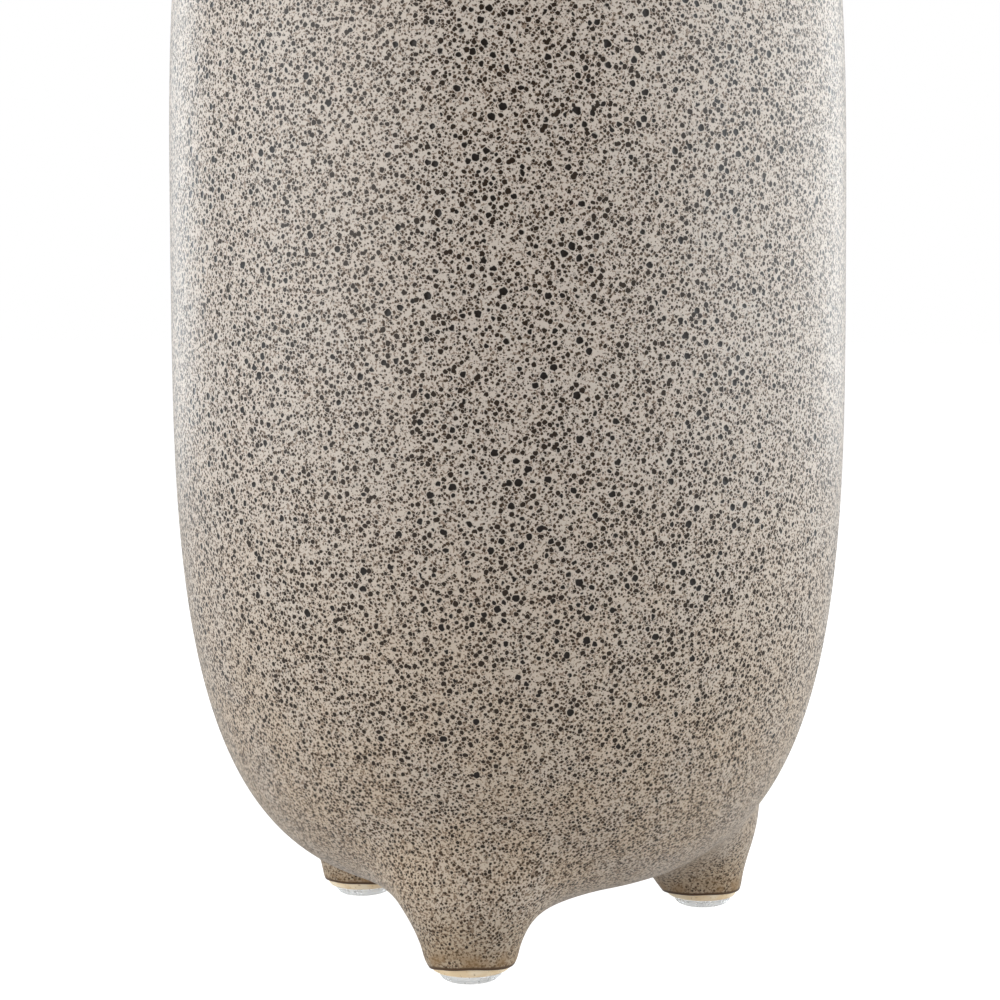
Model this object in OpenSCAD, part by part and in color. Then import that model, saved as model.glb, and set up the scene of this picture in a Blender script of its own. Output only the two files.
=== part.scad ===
// Stoneware pottery vase on three stub feet.
// Millimetres, +Z up. The origin is on the body axis, on the plane the pads rest on.
// A hollow clay body carries a luted neck and three luted feet, a speckled glaze
// outside, a liner glaze inside, and a clear silicone pad stuck under each foot.

/* [Overall] */
// Height from the table to the top of the glazed lip
total_h = 300; // [240:1:380]
// Widest diameter of the clay body
body_d = 136; // [112:1:180]

/* [Body] */
// Height of the widest part above the table
belly_z = 138; // [110:1:170]
// Height of the middle of the underside above the table
stand_h = 11; // [8:0.5:16]
// Clay wall thickness
wall = 5; // [3:0.5:8]
// Clay thickness in the middle of the floor
floor_t = 7; // [4:0.5:12]
// Clay thickness left under the neck
seat_t = 4; // [3:0.5:8]
// Squareness of the lower curve along the height
lower_n = 3.3; // [2.4:0.1:4]
// Squareness of the lower curve across the width
lower_m = 3.6; // [2.4:0.1:4.4]
// Squareness of the shoulder curve along the height
upper_n = 3.3; // [2.4:0.1:4]
// Squareness of the shoulder curve across the width
upper_m = 2.4; // [2:0.1:3.6]

/* [Neck] */
// Outer diameter of the neck where it stands on the shoulder
neck_d = 64; // [58:1:76]
// Outer diameter of the neck at its waist
waist_d = 52; // [50:1:56]
// Diameter of the clay bore through the neck
neck_bore_d = 44; // [36:1:45]
// Height of the neck with its lip
neck_h = 24; // [18:1:40]
// Outer diameter of the rounded lip
lip_d = 57; // [56:1:72]
// Radius of the rounded lip edge
lip_r = 2.6; // [1.6:0.1:2.8]

/* [Feet] */
// Radius of the circle the three feet stand on
foot_spread = 43; // [35:0.5:47]
// Diameter of the flat end of a foot
foot_end_d = 16; // [14:0.5:20]
// Diameter of a foot at its root
foot_root_d = 36; // [28:0.5:42]
// Height over which a foot flares from its end to its root
foot_flare_h = 15; // [12:0.5:20]
// How far the heel of a foot stands out past its flat end
foot_heel = 2; // [0.5:0.1:3]
// Radius of the rounded heel, seen from above
foot_heel_r = 24; // [18:1:30]
// How far the rounded rim of the flat end comes in
foot_edge = 2.2; // [0.3:0.1:2.5]
// Height of the rounded rim of the flat end
foot_edge_h = 3.2; // [0.3:0.1:4]

/* [Pads] */
// Diameter of a silicone pad
pad_d = 12; // [9:0.5:13]
// Thickness of a silicone pad
pad_t = 1.8; // [1:0.1:3]
// Share of a pad's height that its rounded lower edge takes
pad_round = 0.8; // [0.2:0.05:0.95]
// Diameter of the adhesive film behind a pad
adhesive_d = 11; // [8:0.5:12]
// Thickness of the adhesive film
adhesive_t = 0.2; // [0.1:0.05:0.4]

/* [Glaze] */
// Thickness of the outer glaze
glaze_t = 0.5; // [0.3:0.05:0.8]
// Thickness of the liner glaze
liner_t = 0.4; // [0.3:0.05:0.8]
// Height of bare clay left at the end of a foot
bare_h = 1.8; // [1:0.1:4]

/* [Part shown] */
// Sub-part to draw, or all of them

/* [Hidden] */
foot_angles = [-90, 30, 150];
body_r = body_d / 2;
neck_r = neck_d / 2;
waist_r = waist_d / 2;
waist_share = 0.5;
bore_r = neck_bore_d / 2;
clay_top_z = total_h - glaze_t;
seat_z = clay_top_z - neck_h;
foot_end_z = pad_t + adhesive_t;
glaze_line_z = foot_end_z + bare_h;
lip_z = clay_top_z - lip_r;
heel_x = foot_spread + foot_end_d / 2 + foot_heel - foot_heel_r;
// Share of the shoulder height at which the shoulder meets the neck
seat_share = pow(1 - pow(neck_r / body_r, upper_m), 1 / upper_n);
shoulder_h = (seat_z - belly_z) / seat_share;
belly_h = belly_z - stand_h;
flare_k = (foot_root_d - foot_end_d) / 2 / pow(foot_flare_h, 2);
bands = 22;
foot_bands = 12;
neck_bands = 12;
edge_steps = 6;
cut = 1;
$fn = 120;

clay_colour = [0.82, 0.70, 0.55];
glaze_colour = [0.76, 0.72, 0.67];
liner_colour = [0.60, 0.56, 0.50];
pad_colour = [0.88, 0.90, 0.92];
adhesive_colour = [0.95, 0.95, 0.90];

// Radius of the body curve at a share of its height: 0 at the belly, 1 at the pole
function lower_r(r, u) = r * pow(1 - pow(u, lower_n), 1 / lower_m);
function upper_r(r, u) = r * pow(1 - pow(u, upper_n), 1 / upper_m);

// Shares of the height, spaced closer together where the curve turns fast
function share(i) = sin(90 * i / bands);

// Solid inside the body curve, with its skin moved in by the given amounts
module body_solid(inset, inset_floor, inset_top) {
    r = body_r - inset;
    low_h = belly_h - inset_floor;
    high_h = shoulder_h - inset_top;
    rotate_extrude()
        polygon(concat(
            [[0, belly_z - low_h]],
            [for (i = [bands - 1 : -1 : 0])
                [lower_r(r, share(i)), belly_z - low_h * share(i)]],
            [for (i = [1 : bands - 1])
                [upper_r(r, share(i)), belly_z + high_h * share(i)]],
            [[0, belly_z + high_h]]));
}

// Solid cylinder between two heights
module post(r, z_low, z_high) {
    translate([0, 0, z_low])
        cylinder(r = r, h = z_high - z_low);
}

// Outside of the body, cut flat where the neck stands
module body_outside(grow) {
    difference() {
        body_solid(-grow, -grow, -grow);
        post(body_d, seat_z, 2 * total_h);
    }
}

// Space inside the clay walls, less a coat of the given thickness
module hollow(coat) {
    difference() {
        body_solid(wall + coat, floor_t + coat, wall + coat);
        post(body_d, seat_z - seat_t - coat, 2 * total_h);
    }
}

// Outer radius of the neck at a share of the height up to its lip
function neck_x(t) =
    t < waist_share
        ? waist_r + (neck_r - waist_r) * pow(1 - t / waist_share, 2)
        : waist_r + (lip_d / 2 - waist_r) * pow((t - waist_share) / (1 - waist_share), 2);

// Outside of the neck with its rounded lip, as a solid without the bore
module neck_outside(grow) {
    rotate_extrude() {
        polygon(concat(
            [[0, seat_z]],
            [for (i = [0 : neck_bands])
                [neck_x(i / neck_bands) + grow,
                 seat_z + (lip_z - seat_z) * i / neck_bands]],
            [[0, lip_z]]));
        translate([bore_r + lip_r, lip_z - cut])
            square([lip_d / 2 - bore_r - 2 * lip_r, cut + lip_r + grow]);
        for (x = [lip_d / 2 - lip_r, bore_r + lip_r])
            translate([x, lip_z])
                circle(r = lip_r + grow);
    }
}

// Foot turned about its own axis, before the body is cut out of it
module foot_turned(grow, z_low) {
    end_r = foot_end_d / 2;
    z_high = stand_h + foot_flare_h + foot_edge_h;
    rise = z_high - foot_end_z;
    rotate_extrude()
        intersection() {
            polygon(concat(
                [[0, foot_end_z]],
                [for (i = [0 : edge_steps])
                    [end_r + grow - foot_edge * (1 - sin(90 * i / edge_steps)),
                     foot_end_z + foot_edge_h * (1 - cos(90 * i / edge_steps))]],
                [for (i = [1 : foot_bands])
                    let (up = foot_edge_h + (rise - foot_edge_h) * i / foot_bands)
                    [end_r + grow + flare_k * pow(up, 2), foot_end_z + up]],
                [[0, z_high]]));
            translate([0, z_low])
                square([body_d, total_h]);
        }
}

// Foot blank in its place, with its heel rounded off
module foot_blank(angle, grow, z_low) {
    rotate([0, 0, angle])
        intersection() {
            translate([foot_spread, 0, 0])
                foot_turned(grow, z_low);
            translate([heel_x, 0, 0])
                post(foot_heel_r + grow, 0, belly_z);
        }
}

module body() {
    color(clay_colour)
        difference() {
            body_outside(0);
            hollow(0);
            post(bore_r, belly_z, total_h);
        }
}

module neck() {
    color(clay_colour)
        difference() {
            neck_outside(0);
            post(bore_r, seat_z - cut, total_h + cut);
        }
}

module foot(angle) {
    color(clay_colour)
        difference() {
            foot_blank(angle, 0, 0);
            body_solid(0, 0, 0);
        }
}

module pad(angle) {
    pad_edge = pad_t * pad_round;
    flat_r = pad_d / 2 - pad_edge;
    color(pad_colour)
        rotate([0, 0, angle])
            translate([foot_spread, 0, 0])
                rotate_extrude() {
                    square([flat_r, pad_t]);
                    translate([0, pad_edge])
                        square([pad_d / 2, pad_t - pad_edge]);
                    intersection() {
                        translate([flat_r, pad_edge])
                            circle(r = pad_edge);
                        square([pad_d, pad_t]);
                    }
                }
}

module adhesive(angle) {
    color(adhesive_colour)
        rotate([0, 0, angle])
            translate([foot_spread, 0, pad_t])
                cylinder(d = adhesive_d, h = adhesive_t);
}

module outer_glaze() {
    color(glaze_colour)
        difference() {
            union() {
                difference() {
                    union() {
                        body_outside(glaze_t);
                        neck_outside(glaze_t);
                    }
                    body_solid(0, 0, 0);
                }
                for (angle = foot_angles)
                    difference() {
                        foot_blank(angle, glaze_t, glaze_line_z);
                        body_solid(0, 0, 0);
                    }
            }
            neck_outside(0);
            post(bore_r, belly_z, lip_z);
            post(bore_r - glaze_t, belly_z, total_h + cut);
            for (angle = foot_angles)
                foot_blank(angle, 0, 0);
        }
}

module liner_glaze() {
    color(liner_colour)
        difference() {
            union() {
                hollow(0);
                post(bore_r, belly_z, lip_z);
            }
            hollow(liner_t);
            post(bore_r - liner_t, belly_z, lip_z + cut);
        }
}

body();
neck();
foot(foot_angles[0]);  // foot_front
foot(foot_angles[1]);  // foot_right
foot(foot_angles[2]);  // foot_left
pad(foot_angles[0]);  // pad_front
pad(foot_angles[1]);  // pad_right
pad(foot_angles[2]);  // pad_left
adhesive(foot_angles[0]);  // adhesive_front
adhesive(foot_angles[1]);  // adhesive_right
adhesive(foot_angles[2]);  // adhesive_left
outer_glaze();
liner_glaze();
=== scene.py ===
import math

import bmesh
import bpy
import numpy as np
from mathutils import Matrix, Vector


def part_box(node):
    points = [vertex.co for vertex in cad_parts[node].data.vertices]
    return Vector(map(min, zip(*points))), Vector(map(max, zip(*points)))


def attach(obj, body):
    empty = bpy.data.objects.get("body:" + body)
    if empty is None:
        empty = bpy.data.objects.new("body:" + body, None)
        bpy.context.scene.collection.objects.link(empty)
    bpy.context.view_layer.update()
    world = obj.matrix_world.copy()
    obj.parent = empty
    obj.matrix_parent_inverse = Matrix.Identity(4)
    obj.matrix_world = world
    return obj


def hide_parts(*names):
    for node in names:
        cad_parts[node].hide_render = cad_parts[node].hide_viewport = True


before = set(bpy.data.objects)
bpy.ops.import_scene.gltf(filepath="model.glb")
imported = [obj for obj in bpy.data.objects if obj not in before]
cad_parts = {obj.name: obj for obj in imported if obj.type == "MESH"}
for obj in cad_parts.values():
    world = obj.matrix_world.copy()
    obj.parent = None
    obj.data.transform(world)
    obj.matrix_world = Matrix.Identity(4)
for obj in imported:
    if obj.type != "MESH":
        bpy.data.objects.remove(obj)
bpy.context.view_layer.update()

# ---------------------------------------------------------------- clay body
# The body is thrown in buff stoneware as one hollow shell with a floor. The glazes
# cover all of it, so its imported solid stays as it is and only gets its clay.

MM = 0.001
CLAY_BUFF = (0.86, 0.66, 0.42, 1)
CLAY_PALE = (0.94, 0.80, 0.60, 1)
CLAY_GROG = (0.42, 0.27, 0.15, 1)


def new_material(name):
    """A node material: its tree, its Principled node and its coordinates in millimetres."""
    made = bpy.data.materials.new(name)
    made.use_nodes = True
    tree = made.node_tree
    principled = tree.nodes["Principled BSDF"]
    place = tree.nodes.new("ShaderNodeTexCoord")
    to_mm = tree.nodes.new("ShaderNodeMapping")
    to_mm.inputs["Scale"].default_value = (1 / MM, 1 / MM, 1 / MM)
    tree.links.new(place.outputs["Object"], to_mm.inputs["Vector"])
    return made, tree, principled, to_mm.outputs["Vector"]


def add_node(tree, kind, settings=None, **sockets):
    """A node with its settings, and its sockets filled with values or linked."""
    node = tree.nodes.new(kind)
    for name, value in (settings or {}).items():
        setattr(node, name, value)
    for name, value in sockets.items():
        wanted = name.replace("_", " ")
        socket = next((s for s in node.inputs if s.name == wanted and s.enabled), None)
        if socket is None:
            socket = node.inputs[int(name[1:])]
        if isinstance(value, bpy.types.NodeSocket):
            tree.links.new(value, socket)
        else:
            socket.default_value = value
    return node


def calc(tree, what, first, second=0.0, third=0.0):
    """The result of a Math node."""
    node = add_node(tree, "ShaderNodeMath", {"operation": what}, s0=first, s1=second, s2=third)
    return node.outputs[0]


def remap(tree, value, low, high, out_low=0.0, out_high=1.0):
    """Value carried smoothly from one range to another."""
    node = add_node(
        tree, "ShaderNodeMapRange", {"interpolation_type": "SMOOTHSTEP"},
        s0=value, s1=low, s2=high, s3=out_low, s4=out_high,
    )
    return node.outputs[0]


def vector_calc(tree, what, first, second):
    """The result of a Vector Math node on two vectors."""
    node = add_node(tree, "ShaderNodeVectorMath", {"operation": what}, s0=first, s1=second)
    return node.outputs[0]


def blend_colour(tree, share, first, second):
    """The mix of two colours by a share."""
    node = add_node(tree, "ShaderNodeMix", {"data_type": "RGBA"})
    for socket, value in ((0, share), (6, first), (7, second)):
        if isinstance(value, bpy.types.NodeSocket):
            tree.links.new(value, node.inputs[socket])
        else:
            node.inputs[socket].default_value = value
    return node.outputs[2]


def cloud(tree, place, scale, detail=2.0, rough=0.5):
    """Soft noise from 0 to 1, with its scale in repeats for each millimetre."""
    node = add_node(
        tree, "ShaderNodeTexNoise", Vector=place, Scale=scale, Detail=detail, Roughness=rough
    )
    return node.outputs["Fac"]


def finish_with_bump(tree, principled, height, depth):
    """Gives a material its relief: height from 0 to 1, depth in metres."""
    bump = add_node(tree, "ShaderNodeBump", Height=height, Distance=depth, Strength=1.0)
    tree.links.new(bump.outputs["Normal"], principled.inputs["Normal"])


def make_clay():
    made, tree, principled, place = new_material("bare_clay")
    drift = cloud(tree, place, 0.25)
    grain = cloud(tree, place, 3.0, 4.0, 0.7)
    grog = remap(tree, cloud(tree, place, 2.2, 2.0), 0.64, 0.70)
    base = blend_colour(tree, remap(tree, drift, 0.35, 0.65), CLAY_BUFF, CLAY_PALE)
    base = blend_colour(tree, calc(tree, "MULTIPLY", grog, 0.7), base, CLAY_GROG)
    tree.links.new(base, principled.inputs["Base Color"])
    tree.links.new(remap(tree, grain, 0.3, 0.7, 0.75, 0.92), principled.inputs["Roughness"])
    finish_with_bump(tree, principled, grain, 0.06 * MM)
    return made


clay = make_clay()


def wear(node_name, material):
    """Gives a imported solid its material."""
    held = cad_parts[node_name].data
    held.materials.clear()
    held.materials.append(material)


wear("body", clay)

# ---------------------------------------------------------------- neck
# The neck is thrown apart and luted onto the shoulder while the clay is leather
# hard. Glaze covers it as well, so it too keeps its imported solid.

wear("neck", clay)

# ---------------------------------------------------------------- feet
# Three stubs of the same clay are luted under the body and smoothed into it. Each
# ends in a flat, sponged rim of bare clay that the glaze stops short of.

FOOT_ANGLES = {"front": -90, "right": 30, "left": 150}
FOOT_END_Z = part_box("foot_front")[0].z
FOOT_SPREAD = -(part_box("pad_front")[0].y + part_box("pad_front")[1].y) / 2
FOOT_END_R = 8.4 * MM
FOOT_FLARE = 7.8 / 15**2 / MM
FOOT_EDGE = 1.7 * MM
FOOT_EDGE_H = 3.2 * MM
FOOT_SIDES = 96
HEEL_OUT = 2.0 * MM
HEEL_R = 24.0 * MM
MELT_HEEL = 7.0 * MM
FOOT_SEARCH = 40.0 * MM
FOOT_STEP = 0.25 * MM
UNDER_GLAZE = 0.03 * MM
UNDER_BODY = 0.02 * MM
BARE_H = 1.8 * MM
LOWER_N, LOWER_M = 3.3, 3.6
BODY_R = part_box("body")[1].x
STAND_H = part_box("body")[0].z
BELLY_Z = 138.0 * MM
BELLY_H = BELLY_Z - STAND_H


def foot_axis(side):
    turn = math.radians(FOOT_ANGLES[side])
    return Vector((FOOT_SPREAD * math.cos(turn), FOOT_SPREAD * math.sin(turn), 0))


def soft_min(a, b, reach):
    """The smaller of two distances, rounded where they are closer than reach."""
    near = np.maximum(reach - np.abs(a - b), 0) / reach
    return np.minimum(a, b) - near**2 * reach / 4


def foot_field(x, y, z, side, grow):
    """About how far a point is outside one flared foot with its rounded heel."""
    axis = foot_axis(side)
    rise = np.maximum(z - FOOT_END_Z, 0)
    under = np.clip(1 - rise / FOOT_EDGE_H, 0, 0.95)
    reach = FOOT_END_R + grow - FOOT_EDGE * (1 - np.sqrt(1 - under**2)) + FOOT_FLARE * rise**2
    flare = (np.hypot(x - axis.x, y - axis.y) - reach) / np.hypot(1, 2 * FOOT_FLARE * rise)
    out = (FOOT_SPREAD + FOOT_END_R + HEEL_OUT - HEEL_R) / FOOT_SPREAD
    heel = np.hypot(x - axis.x * out, y - axis.y * out) - HEEL_R - grow
    return -soft_min(-flare, -heel, MELT_HEEL)


def underside_z(x, y):
    """Height of the body's clay at a place under it."""
    across = np.clip(np.hypot(x, y) / BODY_R, 0, 1)
    return BELLY_Z - BELLY_H * (1 - across**LOWER_M) ** (1 / LOWER_N)


def add_piece(name, points, faces, material, sharp=None):
    """A smooth-shaded mesh object on the root body."""
    mesh = bpy.data.meshes.new(name)
    mesh.from_pydata(points, [], faces)
    mesh.validate()
    mesh.shade_smooth()
    mesh.materials.append(material)
    piece = bpy.data.objects.new(name, mesh)
    bpy.context.scene.collection.objects.link(piece)
    if sharp is not None:
        mesh.set_sharp_from_angle(angle=math.radians(sharp))
    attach(piece, "root")
    return piece


def foot_rows(side):
    """Rings of points of one foot, from its flat end to a top that follows the body."""
    axis = foot_axis(side)
    turns = math.tau * np.arange(FOOT_SIDES) / FOOT_SIDES
    phase = FOOT_ANGLES[side]
    sponged = 0.07 * MM * np.sin(3 * turns + phase) + 0.04 * MM * np.sin(7 * turns - phase)

    def ring(reach, z):
        return np.stack(
            [axis.x + reach * np.cos(turns), axis.y + reach * np.sin(turns), z + 0 * turns], 1
        )

    def side_reach(z):
        near, far = 0 * turns, 0 * turns + FOOT_SEARCH
        for _ in range(40):
            middle = (near + far) / 2
            x, y, height = ring(middle, z).T
            inside = foot_field(x, y, height, side, 0) < -UNDER_GLAZE
            near, far = np.where(inside, middle, near), np.where(inside, far, middle)
        return near

    top_z = 0 * turns + BELLY_Z
    for z in np.arange(FOOT_END_Z + FOOT_EDGE_H, FOOT_SEARCH, FOOT_STEP):
        x, y, height = ring(side_reach(z), z).T
        met = (underside_z(x, y) < height) & (top_z == BELLY_Z)
        top_z[met] = z
    rows = []
    for share in (0.3, 0.6, 0.85):
        rows.append(ring(share * (FOOT_END_R - FOOT_EDGE), FOOT_END_Z))
    for i in range(13):
        turn = math.pi / 2 * i / 12
        rise = FOOT_EDGE_H * (1 - math.cos(turn))
        reach = FOOT_END_R - FOOT_EDGE * (1 - math.sin(turn)) + FOOT_FLARE * rise**2
        reach = np.minimum(reach, side_reach(FOOT_END_Z + rise)) + sponged * math.sin(turn)
        rows.append(ring(reach, FOOT_END_Z + rise))
    low_z = FOOT_END_Z + FOOT_EDGE_H
    for i in range(1, 15):
        z = low_z + (top_z - low_z) * i / 14
        rows.append(ring(side_reach(z) + sponged * max(0, 1 - i / 2), z))
    rim = rows[-1]
    for share in (0.95, 0.8, 0.6, 0.4, 0.2):
        row = np.array(axis) * (1 - share) + rim * share
        row[:, 2] = np.minimum(underside_z(row[:, 0], row[:, 1]) - UNDER_BODY, 1)
        rows.append(row)
    return rows


def closed_rows(rows):
    """Points and faces of a closed form made of equal rings, with both ends filled."""
    sides = len(rows[0])
    points = [tuple(point) for row in rows for point in row]
    points += [tuple(rows[0].mean(0)), tuple(rows[-1].mean(0))]
    last = (len(rows) - 1) * sides
    faces = []
    for i in range(sides):
        j = (i + 1) % sides
        faces.append((len(points) - 2, j, i))
        faces.append((last + i, last + j, len(points) - 1))
        for k in range(0, last, sides):
            faces.append((k + i, k + j, k + sides + j, k + sides + i))
    return points, faces


for side in FOOT_ANGLES:
    foot = add_piece(f"foot_{side}", *closed_rows(foot_rows(side)), clay)
    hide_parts(f"foot_{side}")

# ---------------------------------------------------------------- liner glaze
# A plain glossy glaze is poured inside and swilled round. It covers the floor, the
# wall and the bore, up to the start of the lip.

LINER_GREY = (0.46, 0.42, 0.36, 1)
LINER_PALE = (0.60, 0.56, 0.50, 1)
LINER_FLECK = (0.12, 0.09, 0.07, 1)
WALL = 5.0 * MM
LINER_T = 0.4 * MM
BORE_R = 22.0 * MM
UPPER_N, UPPER_M = 3.3, 2.4
SEAT_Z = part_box("neck")[0].z
NECK_R = 32.0 * MM
LIP_R = 2.6 * MM
LIP_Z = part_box("liner_glaze")[1].z
FLOOR_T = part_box("liner_glaze")[0].z - STAND_H
CEILING_Z = SEAT_Z - 4.0 * MM
SEAT_SHARE = (1 - (NECK_R / BODY_R) ** UPPER_M) ** (1 / UPPER_N)
SHOULDER_H = (SEAT_Z - BELLY_Z) / SEAT_SHARE
LINER_SIDES = 192


def shell_radius(z, inset, floor_inset):
    """Radius at a height of the body's curve, moved in by the given amounts."""
    if z < BELLY_Z:
        share = min(1, (BELLY_Z - z) / (BELLY_H - floor_inset))
        return (BODY_R - inset) * (1 - share**LOWER_N) ** (1 / LOWER_M)
    share = min(1, (z - BELLY_Z) / (SHOULDER_H - inset))
    return (BODY_R - inset) * (1 - share**UPPER_N) ** (1 / UPPER_M)


def hollow_profile(coat):
    """The inner skin of the clay, or of a coat on it, from the floor up to the lip."""
    floor_z = STAND_H + FLOOR_T + coat
    top_z = CEILING_Z - coat
    steps = []
    span = BELLY_Z - floor_z
    for i in range(1, 40):
        z = BELLY_Z - span * math.cos(math.pi / 2 * i / 40)
        steps.append((shell_radius(z, WALL + coat, FLOOR_T + coat), z))
    for i in range(41):
        z = BELLY_Z + (top_z - BELLY_Z) * i / 40
        steps.append((shell_radius(z, WALL + coat, FLOOR_T + coat), z))
    bore = BORE_R - coat
    last = steps[-1][0]
    steps.append((bore + (last - bore) * 0.5, top_z + 0.15 * MM))
    for i in range(1, 11):
        steps.append((bore, top_z + (LIP_Z - top_z) * i / 10))
    return steps


def make_liner():
    made, tree, principled, place = new_material("liner_glaze")
    drift = cloud(tree, place, 0.06, 3.0)
    fleck = remap(tree, cloud(tree, place, 1.1, 2.0), 0.66, 0.72)
    base = blend_colour(tree, drift, LINER_GREY, LINER_PALE)
    base = blend_colour(tree, fleck, base, LINER_FLECK)
    tree.links.new(base, principled.inputs["Base Color"])
    tree.links.new(remap(tree, drift, 0.3, 0.7, 0.22, 0.34), principled.inputs["Roughness"])
    finish_with_bump(tree, principled, cloud(tree, place, 0.2, 3.0), 0.25 * MM)
    return made


def rings(profile, sides, middle=(0, 0)):
    """Rings of points turned from (radius, height) pairs."""
    turns = math.tau * np.arange(sides) / sides
    across, along = np.cos(turns), np.sin(turns)
    return [
        np.stack([middle[0] + radius * across, middle[1] + radius * along, z + 0 * turns], 1)
        for radius, z in profile
    ]


liner_rows = rings(
    hollow_profile(0.02 * MM) + list(reversed(hollow_profile(LINER_T))), LINER_SIDES
)
liner = add_piece("liner_glaze", *closed_rows(liner_rows), make_liner(), 50)
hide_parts("liner_glaze")

# ---------------------------------------------------------------- outer glaze
# A reactive satin glaze is dipped over body, neck and feet. It melts into one skin,
# pools softly where the feet join, and stops in a thin rolled edge above each pad.

GLAZE_T = 0.5 * MM
GLAZE_LINE_Z = FOOT_END_Z + BARE_H
JOIN_Z = 50.0 * MM
CELL = 0.9 * MM
MELT_OUT, MELT_IN = 4.0 * MM, 14.0 * MM
MELT_START, MELT_SPAN = 6.0 * MM, 16.0 * MM
SETTLE_PASSES = 6
SETTLE_SHARE = 0.6
WELD = 0.08 * MM
NET_HALF = 66.0 * MM
NET_SPARE = 7 * CELL
RIPPLE = 0.06 * MM
LINE_FADE_H = 5.0 * MM
WAVE_TOP = 15.0 * MM
# Each foot's glaze line: how far it dips at both sides and leans to one, in millimetres.
LINE_DIPS = (("front", 1.1, 0.35), ("right", 0.5, 0.2), ("left", 0.5, -0.2))


def lower_body_field(x, y, z, grow):
    """About how far a point is outside the lower part of the body."""
    radius, height = BODY_R + grow, BELLY_H + grow
    across = np.hypot(x, y) / radius
    down = np.clip((BELLY_Z - z) / height, 1e-6, None)
    value = down**LOWER_N + across**LOWER_M - 1
    slope = np.hypot(
        LOWER_N * down ** (LOWER_N - 1) / height, LOWER_M * across ** (LOWER_M - 1) / radius
    )
    return value / np.maximum(slope, 1e-3)


def skin_field(x, y, z):
    """Negative inside the glazed lower body and feet, 0 on the skin."""
    field = lower_body_field(x, y, z, GLAZE_T)
    inward = np.clip((FOOT_SPREAD + MELT_START - np.hypot(x, y)) / MELT_SPAN, 0, 1)
    melt = MELT_OUT + (MELT_IN - MELT_OUT) * inward
    for side in FOOT_ANGLES:
        field = soft_min(field, foot_field(x, y, z, side, GLAZE_T), melt)
    return field


def field_slope(points):
    """Direction and steepness of the field, from small steps."""
    step = 0.02 * MM
    slope = np.empty_like(points)
    for axis in range(3):
        ahead, behind = points.copy(), points.copy()
        ahead[:, axis] += step
        behind[:, axis] -= step
        slope[:, axis] = (skin_field(*ahead.T) - skin_field(*behind.T)) / (2 * step)
    return slope


def skin_net(low, high):
    """Points and faces of the skin between two corners: a point in each cell it crosses."""
    axes = [np.arange(low[i], high[i] + CELL, CELL) for i in range(3)]
    inside = skin_field(*np.meshgrid(*axes, indexing="ij", sparse=True)) < 0
    nx, ny, nz = [n - 1 for n in inside.shape]
    counts = np.zeros((nx, ny, nz), np.int8)
    for i in (0, 1):
        for j in (0, 1):
            for k in (0, 1):
                counts += inside[i:i + nx, j:j + ny, k:k + nz]
    crossed = (counts > 0) & (counts < 8)
    number = np.full(counts.shape, -1)
    number[crossed] = np.arange(crossed.sum())
    cells = np.argwhere(crossed)
    points = np.stack([axes[i][cells[:, i]] + CELL / 2 for i in range(3)], 1)
    faces = []
    for axis in range(3):
        a, b = [other for other in range(3) if other != axis]
        here = np.moveaxis(inside, (axis, a, b), (0, 1, 2))
        cell = np.moveaxis(number, (axis, a, b), (0, 1, 2))
        start, end = here[:-1, 1:-1, 1:-1], here[1:, 1:-1, 1:-1]
        for changes, turned_round in ((start & ~end, axis == 1), (~start & end, axis != 1)):
            i, j, k = np.nonzero(changes)
            around = np.stack(
                [cell[i, j, k], cell[i, j + 1, k], cell[i, j + 1, k + 1], cell[i, j, k + 1]], 1
            )
            faces.append(around[:, ::-1] if turned_round else around)
    faces = np.concatenate(faces)
    return points, faces[(faces >= 0).all(1)]


def settle(points, faces):
    """Evens the points out along the skin and brings them back onto it."""
    ends = np.concatenate([faces[:, [i, (i + 1) % 4]] for i in range(4)])
    ends = np.concatenate([ends, ends[:, ::-1]])
    count = np.bincount(ends[:, 0], minlength=len(points)).clip(1)[:, None]
    for _ in range(SETTLE_PASSES):
        total = np.stack(
            [np.bincount(ends[:, 0], points[ends[:, 1], i], len(points)) for i in range(3)], 1
        )
        points = points + SETTLE_SHARE * (total / count - points)
        for _ in range(2):
            slope = field_slope(points)
            steep = (slope**2).sum(1).clip(0.05)
            points = points - slope * (skin_field(*points.T) / steep)[:, None]
    return points


WAIST_R = 26.0 * MM
LIP_OUT_R = 28.5 * MM
WAIST_SHARE = 0.5
SAMPLE = 0.1 * MM
SOFT_SAMPLES = 28
LIP_SAMPLES = 6


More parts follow.
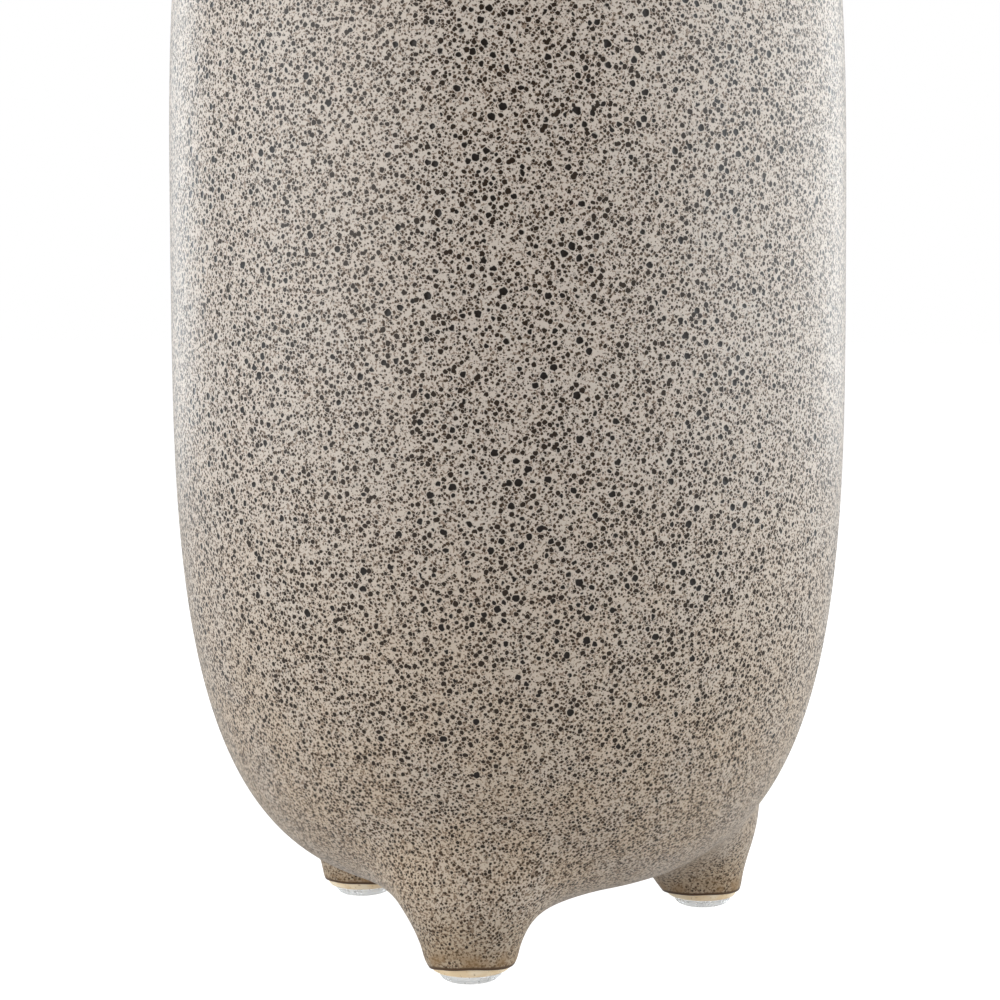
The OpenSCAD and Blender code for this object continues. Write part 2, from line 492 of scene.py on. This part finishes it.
def upper_profile():
    """(radius, height) steps above the join: wall, shoulder, neck, lip, start of the bore."""
    rough = []
    for z in np.arange(JOIN_Z, SEAT_Z, 0.2 * MM):
        if z < BELLY_Z:
            share = (BELLY_Z - z) / (BELLY_H + GLAZE_T)
            radius = (BODY_R + GLAZE_T) * (1 - share**LOWER_N) ** (1 / LOWER_M)
        else:
            share = (z - BELLY_Z) / (SHOULDER_H + GLAZE_T)
            radius = (BODY_R + GLAZE_T) * (1 - share**UPPER_N) ** (1 / UPPER_M)
        rough.append((radius, z))
    for share in np.linspace(0, 1, 120):
        if share < WAIST_SHARE:
            radius = WAIST_R + (NECK_R - WAIST_R) * (1 - share / WAIST_SHARE) ** 2
        else:
            radius = WAIST_R + (LIP_OUT_R - WAIST_R) * (
                (share - WAIST_SHARE) / (1 - WAIST_SHARE)
            ) ** 2
        rough.append((radius + GLAZE_T, SEAT_Z + (LIP_Z - SEAT_Z) * share))
    bead = LIP_R + GLAZE_T
    for turn in np.radians(np.arange(4, 91, 4)):
        rough.append((LIP_OUT_R - LIP_R + bead * math.cos(turn), LIP_Z + bead * math.sin(turn)))
    for turn in np.radians(np.arange(90, 181, 4)):
        rough.append((BORE_R + LIP_R + bead * math.cos(turn), LIP_Z + bead * math.sin(turn)))
    line = np.array(rough)
    along = np.concatenate([[0], np.cumsum(np.hypot(*np.diff(line, axis=0).T))])
    fine = np.arange(0, along[-1], SAMPLE)
    line = np.stack([np.interp(fine, along, line[:, i]) for i in (0, 1)], 1)
    softened = np.clip((line[:, 1] - (SEAT_Z - 16 * MM)) / (10 * MM), 0, 1) * SOFT_SAMPLES
    soft = line.copy()
    for i in range(len(line)):
        half = int(min(softened[i], i, len(line) - 1 - i))
        if line[i, 1] > LIP_Z - 4 * MM:
            half = min(half, LIP_SAMPLES)
        soft[i] = line[i - half:i + half + 1].mean(0)
    heights = [SEAT_Z - 20 * MM, SEAT_Z - 6 * MM, LIP_Z - 2 * MM, LIP_Z]
    step = np.interp(soft[:, 1], heights, [1.8 * MM, 0.9 * MM, 0.7 * MM, 0.35 * MM])
    kept, gone = [], 0.0
    for i in range(1, len(soft)):
        gone += np.hypot(*(soft[i] - soft[i - 1]))
        if gone >= step[i]:
            kept.append(tuple(soft[i]))
            gone = 0.0
    kept.append(tuple(soft[-1]))
    kept.append((BORE_R - 0.1 * MM, LIP_Z - 0.4 * MM))
    kept.append((BORE_R + 0.15 * MM, LIP_Z - 0.6 * MM))
    return kept


def in_order(edges):
    """The vertices of one closed loop of edges, in order."""
    after = {}
    for edge in edges:
        for one, other in (edge.verts, reversed(edge.verts)):
            after.setdefault(one, []).append(other)
    first = edges[0].verts[0]
    loop, now = [first], after[first][0]
    while now is not first:
        loop.append(now)
        now = next(v for v in after[now] if v is not loop[-2])
    return loop


def add_rows(shape, loop, rows):
    """Joins rows of points to a loop of vertices, one vertex above each one before."""
    for row in rows:
        fresh = [shape.verts.new(point) for point in row]
        for i in range(len(loop)):
            j = (i + 1) % len(loop)
            shape.faces.new((loop[i], loop[j], fresh[j], fresh[i]))
        loop = fresh


def line_wave(x, y, z):
    """How far the glaze line strays from its height near each foot, fading out above it."""
    wave = 0 * x
    for side, dip, lean in LINE_DIPS:
        axis = foot_axis(side)
        turn = np.arctan2(y - axis.y, x - axis.x)
        near = np.hypot(x - axis.x, y - axis.y) < 2 * FOOT_END_R
        ripple = np.sin(5 * turn + 1) + 0.6 * np.sin(8 * turn)
        dipped = (lean - dip * np.cos(turn)) * np.cos(turn) * MM + RIPPLE * ripple
        wave = wave + near * dipped
    return wave * np.clip(1.6 - z / LINE_FADE_H, 0, 1)


net_points, net_faces = skin_net(
    (-NET_HALF, -NET_HALF, GLAZE_LINE_Z - NET_SPARE), (NET_HALF, NET_HALF, JOIN_Z + NET_SPARE)
)
net_points = settle(net_points, net_faces)
net_points[:, 2] -= line_wave(*net_points.T)
mesh = bpy.data.meshes.new("outer_glaze")
mesh.from_pydata(net_points.tolist(), [], net_faces.tolist())
shape = bmesh.new()
shape.from_mesh(mesh)
shape.verts.layers.float.new("above_line")
for height, below in ((GLAZE_LINE_Z, True), (JOIN_Z, False)):
    bmesh.ops.bisect_plane(
        shape, geom=shape.verts[:] + shape.edges[:] + shape.faces[:], dist=1e-7,
        plane_co=(0, 0, height), plane_no=(0, 0, 1), clear_inner=below, clear_outer=not below,
    )
bmesh.ops.remove_doubles(shape, verts=shape.verts[:], dist=WELD)
open_edges = [edge for edge in shape.edges if edge.is_boundary]
join = in_order([edge for edge in open_edges if edge.verts[0].co.z > JOIN_Z / 2])
line_edges = [edge for edge in open_edges if edge.verts[0].co.z < JOIN_Z / 2]
lines = {}
for side in FOOT_ANGLES:
    middle = foot_axis(side).xy
    near = [e for e in line_edges if (e.verts[0].co.xy - middle).length < 2 * FOOT_END_R]
    lines[side] = in_order(near)
upper = upper_profile()
turns = [math.atan2(v.co.y, v.co.x) for v in join]
add_rows(shape, join, [
    [(radius * math.cos(turn), radius * math.sin(turn), z) for turn in turns]
    for radius, z in upper
])
above = shape.verts.layers.float["above_line"]
for vertex in shape.verts:
    vertex[above] = (vertex.co.z - GLAZE_LINE_Z) / MM
    if vertex.co.z < WAVE_TOP:
        vertex.co.z += float(line_wave(*(np.array([c]) for c in vertex.co))[0])

# The rolled edge, as steps inward and down from the line, in millimetres.
CURL = ((0.06, 0.10), (0.18, 0.17), (0.33, 0.19), (0.50, 0.12))
for side in FOOT_ANGLES:
    axis = foot_axis(side)
    rows = []
    for pull, drop in CURL:
        row = []
        for vertex in lines[side]:
            away = Vector((vertex.co.x - axis.x, vertex.co.y - axis.y, 0))
            reach = away.length - pull * MM
            point = axis + away.normalized() * reach
            row.append((point.x, point.y, vertex.co.z - drop * MM))
        rows.append(row)
    add_rows(shape, lines[side], rows)
bmesh.ops.recalc_face_normals(shape, faces=shape.faces[:])
shape.to_mesh(mesh)
shape.free()
mesh.shade_smooth()
glaze_skin = bpy.data.objects.new("outer_glaze", mesh)
bpy.context.scene.collection.objects.link(glaze_skin)
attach(glaze_skin, "root")
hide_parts("outer_glaze")


DISORDER = 0.78


def make_speck_layer():
    """Group: one size class of specks, at most one in each cell of a grid without order."""
    group = bpy.data.node_groups.new("speck_layer", "ShaderNodeTree")
    for name, kind in (
        ("Place", "Vector"), ("Cell", "Float"), ("Least", "Float"), ("Most", "Float"),
        ("Presence", "Float"), ("Soft", "Float"), ("Wobble", "Float"), ("Halo", "Float"),
    ):
        group.interface.new_socket(name, in_out="INPUT", socket_type="NodeSocket" + kind)
    for name in ("Mask", "Ring", "Depth"):
        group.interface.new_socket(name, in_out="OUTPUT", socket_type="NodeSocketFloat")
    group.interface.new_socket("Centre", in_out="OUTPUT", socket_type="NodeSocketVector")
    given = group.nodes.new("NodeGroupInput").outputs
    result = group.nodes.new("NodeGroupOutput")
    ragged = add_node(
        group, "ShaderNodeTexNoise", Vector=given["Place"],
        Scale=calc(group, "DIVIDE", 0.9, given["Most"]), Detail=1.0,
    )
    shift = vector_calc(group, "SUBTRACT", ragged.outputs["Color"], (0.5, 0.5, 0.5))
    shift = add_node(
        group, "ShaderNodeVectorMath", {"operation": "SCALE"}, s0=shift, Scale=given["Wobble"]
    )
    moved = vector_calc(group, "ADD", given["Place"], shift.outputs[0])
    cells = add_node(
        group, "ShaderNodeTexVoronoi", {"voronoi_dimensions": "3D", "feature": "F1"},
        Vector=moved, Scale=calc(group, "DIVIDE", 1.0, given["Cell"]), Randomness=DISORDER,
    )
    away = calc(group, "MULTIPLY", cells.outputs["Distance"], given["Cell"])
    luck = add_node(group, "ShaderNodeSeparateColor", Color=cells.outputs["Color"])
    size = calc(group, "POWER", luck.outputs[1], 1.4)
    span = calc(group, "SUBTRACT", given["Most"], given["Least"])
    radius = calc(group, "MULTIPLY_ADD", size, span, given["Least"])
    there = calc(group, "LESS_THAN", luck.outputs[0], given["Presence"])
    radius = calc(group, "MULTIPLY_ADD", there, calc(group, "ADD", radius, 1.0), -1.0)
    inside = calc(group, "SUBTRACT", radius, away)
    mask = remap(group, inside, calc(group, "MULTIPLY", given["Soft"], -1.0), given["Soft"])
    ring = remap(group, inside, calc(group, "MULTIPLY", given["Halo"], -1.0), 0.0)
    depth = calc(group, "DIVIDE", calc(group, "MAXIMUM", inside, 0.0), given["Most"])
    group.links.new(mask, result.inputs["Mask"])
    group.links.new(ring, result.inputs["Ring"])
    group.links.new(depth, result.inputs["Depth"])
    group.links.new(cells.outputs["Position"], result.inputs["Centre"])
    return group


GROUND_PALE = (0.575, 0.500, 0.435, 1)
GROUND_TAN = (0.540, 0.435, 0.330, 1)
GROUND_GREY = (0.560, 0.510, 0.460, 1)
GROUND_OLIVE = (0.375, 0.285, 0.185, 1)
SPECK_RUST = (0.135, 0.074, 0.035, 1)
SPECK_BROWN = (0.050, 0.028, 0.014, 1)
SPECK_DARK = (0.022, 0.012, 0.006, 1)
SPECK_CHARCOAL = (0.010, 0.006, 0.004, 1)
LINE_RUST = (0.27, 0.165, 0.075, 1)
LINE_DARK = (0.075, 0.040, 0.018, 1)
# Streaks with more large spots: turn from the front and half width, in degrees.
STREAKS = ((10.5, 15), (118, 20), (205, 16), (262, 11), (310, 9))
GRID_TURN = (0.79, 0.61, 0.40)
LARGE_AT = (7, 3, 5)
MIDDLE_AT = (31, 17, 11)
FINE_AT = (53, 41, 23)


def make_glaze():
    made, tree, principled, place = new_material("speckled_glaze")
    layer = make_speck_layer()

    def specks(at, offset, **sockets):
        """The outputs of one size class, on a grid that starts at its own offset."""
        moved = vector_calc(tree, "ADD", at, offset)
        return add_node(
            tree, "ShaderNodeGroup", {"node_tree": layer}, Place=moved, **sockets
        ).outputs

    spot = add_node(tree, "ShaderNodeSeparateXYZ", Vector=place)
    x, y, height = spot.outputs

    # Broad zones: streaks that run down the wall, each richer in large spots.
    tall = vector_calc(tree, "MULTIPLY", place, (1, 1, 0.3))
    streak = cloud(tree, tall, 0.035, 2.0)
    patch = cloud(tree, place, 0.11, 3.0, 0.6)
    squares = calc(tree, "MULTIPLY_ADD", x, x, calc(tree, "MULTIPLY", y, y))
    away = calc(tree, "SQRT", squares)
    rich = remap(tree, streak, 0.40, 0.62)
    for turn, width in STREAKS:
        aim = math.radians(turn)
        along = add_node(
            tree, "ShaderNodeVectorMath", {"operation": "DOT_PRODUCT"},
            s0=place, s1=(math.sin(aim), -math.cos(aim), 0),
        ).outputs["Value"]
        facing = calc(tree, "DIVIDE", along, calc(tree, "ADD", away, 0.5))
        rim, core = math.cos(math.radians(width * 1.3)), math.cos(math.radians(width * 0.4))
        facing = remap(tree, facing, rim, core)
        rich = calc(tree, "MAXIMUM", rich, facing)
    high = remap(tree, height, 30.0, 95.0)
    rich = calc(tree, "MULTIPLY", rich, remap(tree, patch, 0.30, 0.55, 0.5, 1.0))
    rich = calc(tree, "MULTIPLY", rich, calc(tree, "MULTIPLY_ADD", high, 0.97, 0.03))

    # Three size classes on grids that stand askew to the wall. A middle spot is left
    # out whole where it is close to a large one, and the fine ones give way to both.
    askew = add_node(
        tree, "ShaderNodeVectorRotate", {"rotation_type": "EULER_XYZ"},
        Vector=place, Rotation=GRID_TURN,
    ).outputs[0]
    often = calc(tree, "MULTIPLY_ADD", rich, 0.85, calc(tree, "MULTIPLY", high, 0.09))
    large_size = {
        "Cell": 2.3, "Least": 0.40, "Most": 0.78, "Presence": often,
        "Soft": 0.10, "Wobble": 0.7, "Halo": 0.34,
    }
    large = specks(askew, LARGE_AT, **large_size)
    middle = specks(
        askew, MIDDLE_AT, Cell=1.18, Least=0.26, Most=remap(tree, height, 5.0, 65.0, 0.34, 0.57),
        Presence=remap(tree, height, 6.0, 32.0, 0.42, 0.97), Soft=0.08, Wobble=0.5, Halo=0.16,
    )
    centre = vector_calc(tree, "SUBTRACT", middle["Centre"], MIDDLE_AT)
    crowded = specks(centre, LARGE_AT, **large_size)["Ring"]
    middle_kept = calc(tree, "LESS_THAN", crowded, 0.02)
    middle_shown = calc(tree, "MULTIPLY", middle["Mask"], middle_kept)
    middle_ring = calc(tree, "MULTIPLY", middle["Ring"], middle_kept)
    fine = specks(
        askew, FINE_AT, Cell=0.62, Least=0.14, Most=remap(tree, height, 4.0, 30.0, 0.32, 0.365),
        Presence=0.97, Soft=0.07, Wobble=0.35, Halo=0.10,
    )
    room = remap(tree, large["Ring"], 0.2, 0.8, 1.0, 0.0)
    room = calc(tree, "MULTIPLY", room, remap(tree, middle_ring, 0.3, 0.9, 1.0, 0.0))
    fine_shown = calc(tree, "MULTIPLY", fine["Mask"], room)
    thin = remap(tree, height, 4.0, 70.0)
    dust = cloud(tree, place, 2.0, 1.0)
    dust = calc(tree, "SUBTRACT", dust, calc(tree, "MULTIPLY_ADD", thin, 0.045, 0.502))
    dust_shown = calc(tree, "MULTIPLY", remap(tree, dust, 0.0, 0.07), room)
    big = calc(tree, "MAXIMUM", large["Mask"], middle_shown)

    low = remap(tree, height, 20.0, 120.0)
    ground = blend_colour(tree, low, GROUND_TAN, GROUND_PALE)
    line = add_node(tree, "ShaderNodeAttribute", {"attribute_name": "above_line"}).outputs["Fac"]
    # The ground turns darker olive-brown from 15 mm above the glaze line down to it, more in
    # some patches than others.
    darker_near_line = remap(tree, line, 0.5, 15.0, 1.0, 0.0)
    darker_near_line = calc(tree, "MULTIPLY", darker_near_line, remap(tree, patch, 0.25, 0.65, 0.6, 1.0))
    ground = blend_colour(tree, darker_near_line, ground, GROUND_OLIVE)
    ground = blend_colour(tree, remap(tree, patch, 0.35, 0.70, 0.0, 0.35), ground, GROUND_GREY)
    colour = blend_colour(tree, calc(tree, "MULTIPLY", dust_shown, 0.7), ground, SPECK_RUST)
    colour = blend_colour(tree, fine_shown, colour, SPECK_BROWN)
    colour = blend_colour(tree, middle_shown, colour, SPECK_DARK)
    colour = blend_colour(tree, large["Mask"], colour, SPECK_CHARCOAL)
    burnt = remap(tree, cloud(tree, place, 0.22, 2.0), 0.35, 0.65)
    scorch = calc(tree, "MULTIPLY", remap(tree, line, 0.4, 5.0, 0.85, 0.0), burnt)
    colour = blend_colour(tree, scorch, colour, LINE_RUST)
    colour = blend_colour(tree, remap(tree, line, 0.22, 0.62, 1.0, 0.0), colour, LINE_DARK)
    tree.links.new(colour, principled.inputs["Base Color"])

    principled.inputs["Specular IOR Level"].default_value = 0.28
    gloss = calc(tree, "MULTIPLY_ADD", big, -0.08, 0.42)
    tree.links.new(gloss, principled.inputs["Roughness"])
    relief = calc(tree, "MULTIPLY", large["Depth"], -1.0)
    finish_with_bump(tree, principled, relief, 0.10 * MM)
    return made


glaze_skin.data.materials.append(make_glaze())

# ---------------------------------------------------------------- adhesive films
# Each silicone pad comes with a thin film of clear adhesive, pressed onto the bare
# clay. It shows as a pale ring between the pad and the foot.

FILM_R = 5.5 * MM
FILM_ROUND = 0.05 * MM
FILM_BITE = 0.01 * MM
FILM_CREAM = (0.80, 0.76, 0.66, 1)
FILM_PALE = (0.92, 0.90, 0.84, 1)


def make_film():
    made, tree, principled, place = new_material("adhesive_film")
    base = blend_colour(tree, cloud(tree, place, 1.5, 3.0), FILM_CREAM, FILM_PALE)
    tree.links.new(base, principled.inputs["Base Color"])
    tree.links.new(cloud(tree, place, 2.0), principled.inputs["Roughness"])
    return made


PAD_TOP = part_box("pad_front")[1].z
film_material = make_film()
low, high = PAD_TOP - FILM_BITE, FOOT_END_Z + FILM_BITE
edge = FILM_R - FILM_ROUND
film_profile = [
    (FILM_R / 2, low), (edge, low), (FILM_R, (low + high) / 2), (edge, high), (FILM_R / 2, high)
]
for side in FOOT_ANGLES:
    film_rows = rings(film_profile, 64, foot_axis(side))
    film = add_piece(f"adhesive_{side}", *closed_rows(film_rows), film_material)
    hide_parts(f"adhesive_{side}")

# ---------------------------------------------------------------- silicone pads
# Clear self-adhesive bumpers, moulded with a rounded lower rim. They are soft and
# a little milky, and the vase stands on them.

PAD_R = 6.0 * MM
PAD_EDGE = 1.55 * MM
PAD_EDGE_IN = 2.1 * MM
PAD_BEVEL = 0.12 * MM
SILICONE_COOL = (0.90, 0.92, 0.94, 1)
SILICONE_CLEAR = (0.97, 0.98, 0.99, 1)


def make_silicone():
    made, tree, principled, place = new_material("clear_silicone")
    haze = cloud(tree, place, 0.8, 3.0)
    base = blend_colour(tree, haze, SILICONE_COOL, SILICONE_CLEAR)
    tree.links.new(base, principled.inputs["Base Color"])
    principled.inputs["Transmission Weight"].default_value = 0.55
    principled.inputs["IOR"].default_value = 1.41
    tree.links.new(remap(tree, haze, 0.3, 0.7, 0.25, 0.4), principled.inputs["Roughness"])
    finish_with_bump(tree, principled, cloud(tree, place, 1.2, 2.0), 0.02 * MM)
    return made


silicone = make_silicone()
pad_profile = [(PAD_R * 0.4, 0), (PAD_R - PAD_EDGE_IN, 0)]
for i in range(1, 11):
    turn = math.pi / 2 * i / 10
    pad_profile.append(
        (PAD_R - PAD_EDGE_IN * (1 - math.sin(turn)), PAD_EDGE * (1 - math.cos(turn)))
    )
pad_profile += [
    (PAD_R, PAD_TOP - PAD_BEVEL), (PAD_R - PAD_BEVEL / 3, PAD_TOP - PAD_BEVEL / 4),
    (PAD_R - PAD_BEVEL, PAD_TOP), (PAD_R * 0.5, PAD_TOP),
]
for side in FOOT_ANGLES:
    pad_rows = rings(pad_profile, 96, foot_axis(side))
    pad = add_piece(f"pad_{side}", *closed_rows(pad_rows), silicone)
    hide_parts(f"pad_{side}")

# ---------------------------------------------------------------- stage
# A pale seamless floor and backdrop, broad soft lights on both sides, and the
# camera a little below the middle of the vase.

scene = bpy.context.scene
scene.view_settings.view_transform = "Standard"
scene.view_settings.look = "None"

FLOOR_HALF = 4.0
FLOOR_GREY = (0.30, 0.30, 0.30, 1)
FLOOR_GLOW, FLOOR_SEEN_MORE = 0.40, 0.62
floor_mesh = bpy.data.meshes.new("floor")
floor_mesh.from_pydata(
    [(-FLOOR_HALF, -FLOOR_HALF, 0), (FLOOR_HALF, -FLOOR_HALF, 0),
     (FLOOR_HALF, FLOOR_HALF, 0), (-FLOOR_HALF, FLOOR_HALF, 0)], [], [(0, 1, 2, 3)],
)
floor = bpy.data.objects.new("floor", floor_mesh)
scene.collection.objects.link(floor)
floor_made, floor_tree, floor_principled = new_material("pale_floor")[:3]
floor_principled.inputs["Base Color"].default_value = FLOOR_GREY
floor_principled.inputs["Roughness"].default_value = 1.0
floor_principled.inputs["Specular IOR Level"].default_value = 0.0
floor_principled.inputs["Emission Color"].default_value = (1, 1, 1, 1)
floor_path = add_node(floor_tree, "ShaderNodeLightPath").outputs
floor_seen = calc(
    floor_tree, "MAXIMUM", floor_path["Is Camera Ray"], floor_path["Is Transmission Ray"]
)
floor_tree.links.new(
    calc(floor_tree, "MULTIPLY_ADD", floor_seen, FLOOR_SEEN_MORE, FLOOR_GLOW),
    floor_principled.inputs["Emission Strength"],
)
floor_mesh.materials.append(floor_made)

AMBIENT = 0.06
world = bpy.data.worlds.new("studio")
world.use_nodes = True
backdrop = world.node_tree.nodes["Background"]
backdrop.inputs["Color"].default_value = (1, 1, 1, 1)
sky_path = add_node(world.node_tree, "ShaderNodeLightPath").outputs
sky_seen = calc(
    world.node_tree, "MAXIMUM", sky_path["Is Camera Ray"], sky_path["Is Transmission Ray"]
)
world.node_tree.links.new(
    calc(world.node_tree, "MULTIPLY_ADD", sky_seen, 1.0 - AMBIENT, AMBIENT),
    backdrop.inputs["Strength"],
)
scene.world = world


LIGHT_AWAY = 1.0
LIGHT_WIDTH = 0.5
LIGHT_LOW, LIGHT_HIGH = 0.02, 0.9


def soft_light(name, turn, power, colour):
    """A tall soft box round the vase, facing its axis and hidden from the camera."""
    data = bpy.data.lights.new(name, "AREA")
    data.shape, data.size, data.size_y = "RECTANGLE", LIGHT_WIDTH, LIGHT_HIGH - LIGHT_LOW
    data.energy, data.color = power, colour
    light = bpy.data.objects.new(name, data)
    angle = math.radians(turn)
    light.location = (
        LIGHT_AWAY * math.sin(angle), -LIGHT_AWAY * math.cos(angle), (LIGHT_LOW + LIGHT_HIGH) / 2
    )
    light.rotation_euler = (math.pi / 2, 0, angle)
    light.visible_camera = False
    scene.collection.objects.link(light)


VIEW_TURN = math.radians(10.86)
WARM, COOL = (1, 0.985, 0.96), (0.90, 0.96, 1)
for turn, power, colour in (
    (-135, 4.2, COOL), (-90, 3.4, COOL), (-70, 4.0, COOL), (-45, 4.5, WARM), (45, 2.3, WARM),
    (75, 6.2, COOL), (105, 5.0, COOL), (135, 4.2, COOL),
):
    soft_light(f"soft_{turn}", turn + math.degrees(VIEW_TURN), power, colour)

VIEW_AWAY = 528 * MM
VIEW_HEIGHT = 136.2 * MM
VIEW_PITCH = math.radians(3.86)
VIEW_YAW = math.radians(3.10)
VIEW_LENS = 92.45
VIEW_SHIFT = (-0.15, -0.06)
camera_data = bpy.data.cameras.new("camera")
camera_data.sensor_width = 36
camera_data.lens = VIEW_LENS
camera_data.shift_x, camera_data.shift_y = VIEW_SHIFT
camera = bpy.data.objects.new("camera", camera_data)
camera.location = (
    VIEW_AWAY * math.sin(VIEW_TURN), -VIEW_AWAY * math.cos(VIEW_TURN), VIEW_HEIGHT
)
camera.rotation_euler = (math.pi / 2 - VIEW_PITCH, 0, VIEW_TURN - VIEW_YAW)
scene.collection.objects.link(camera)
scene.camera = camera
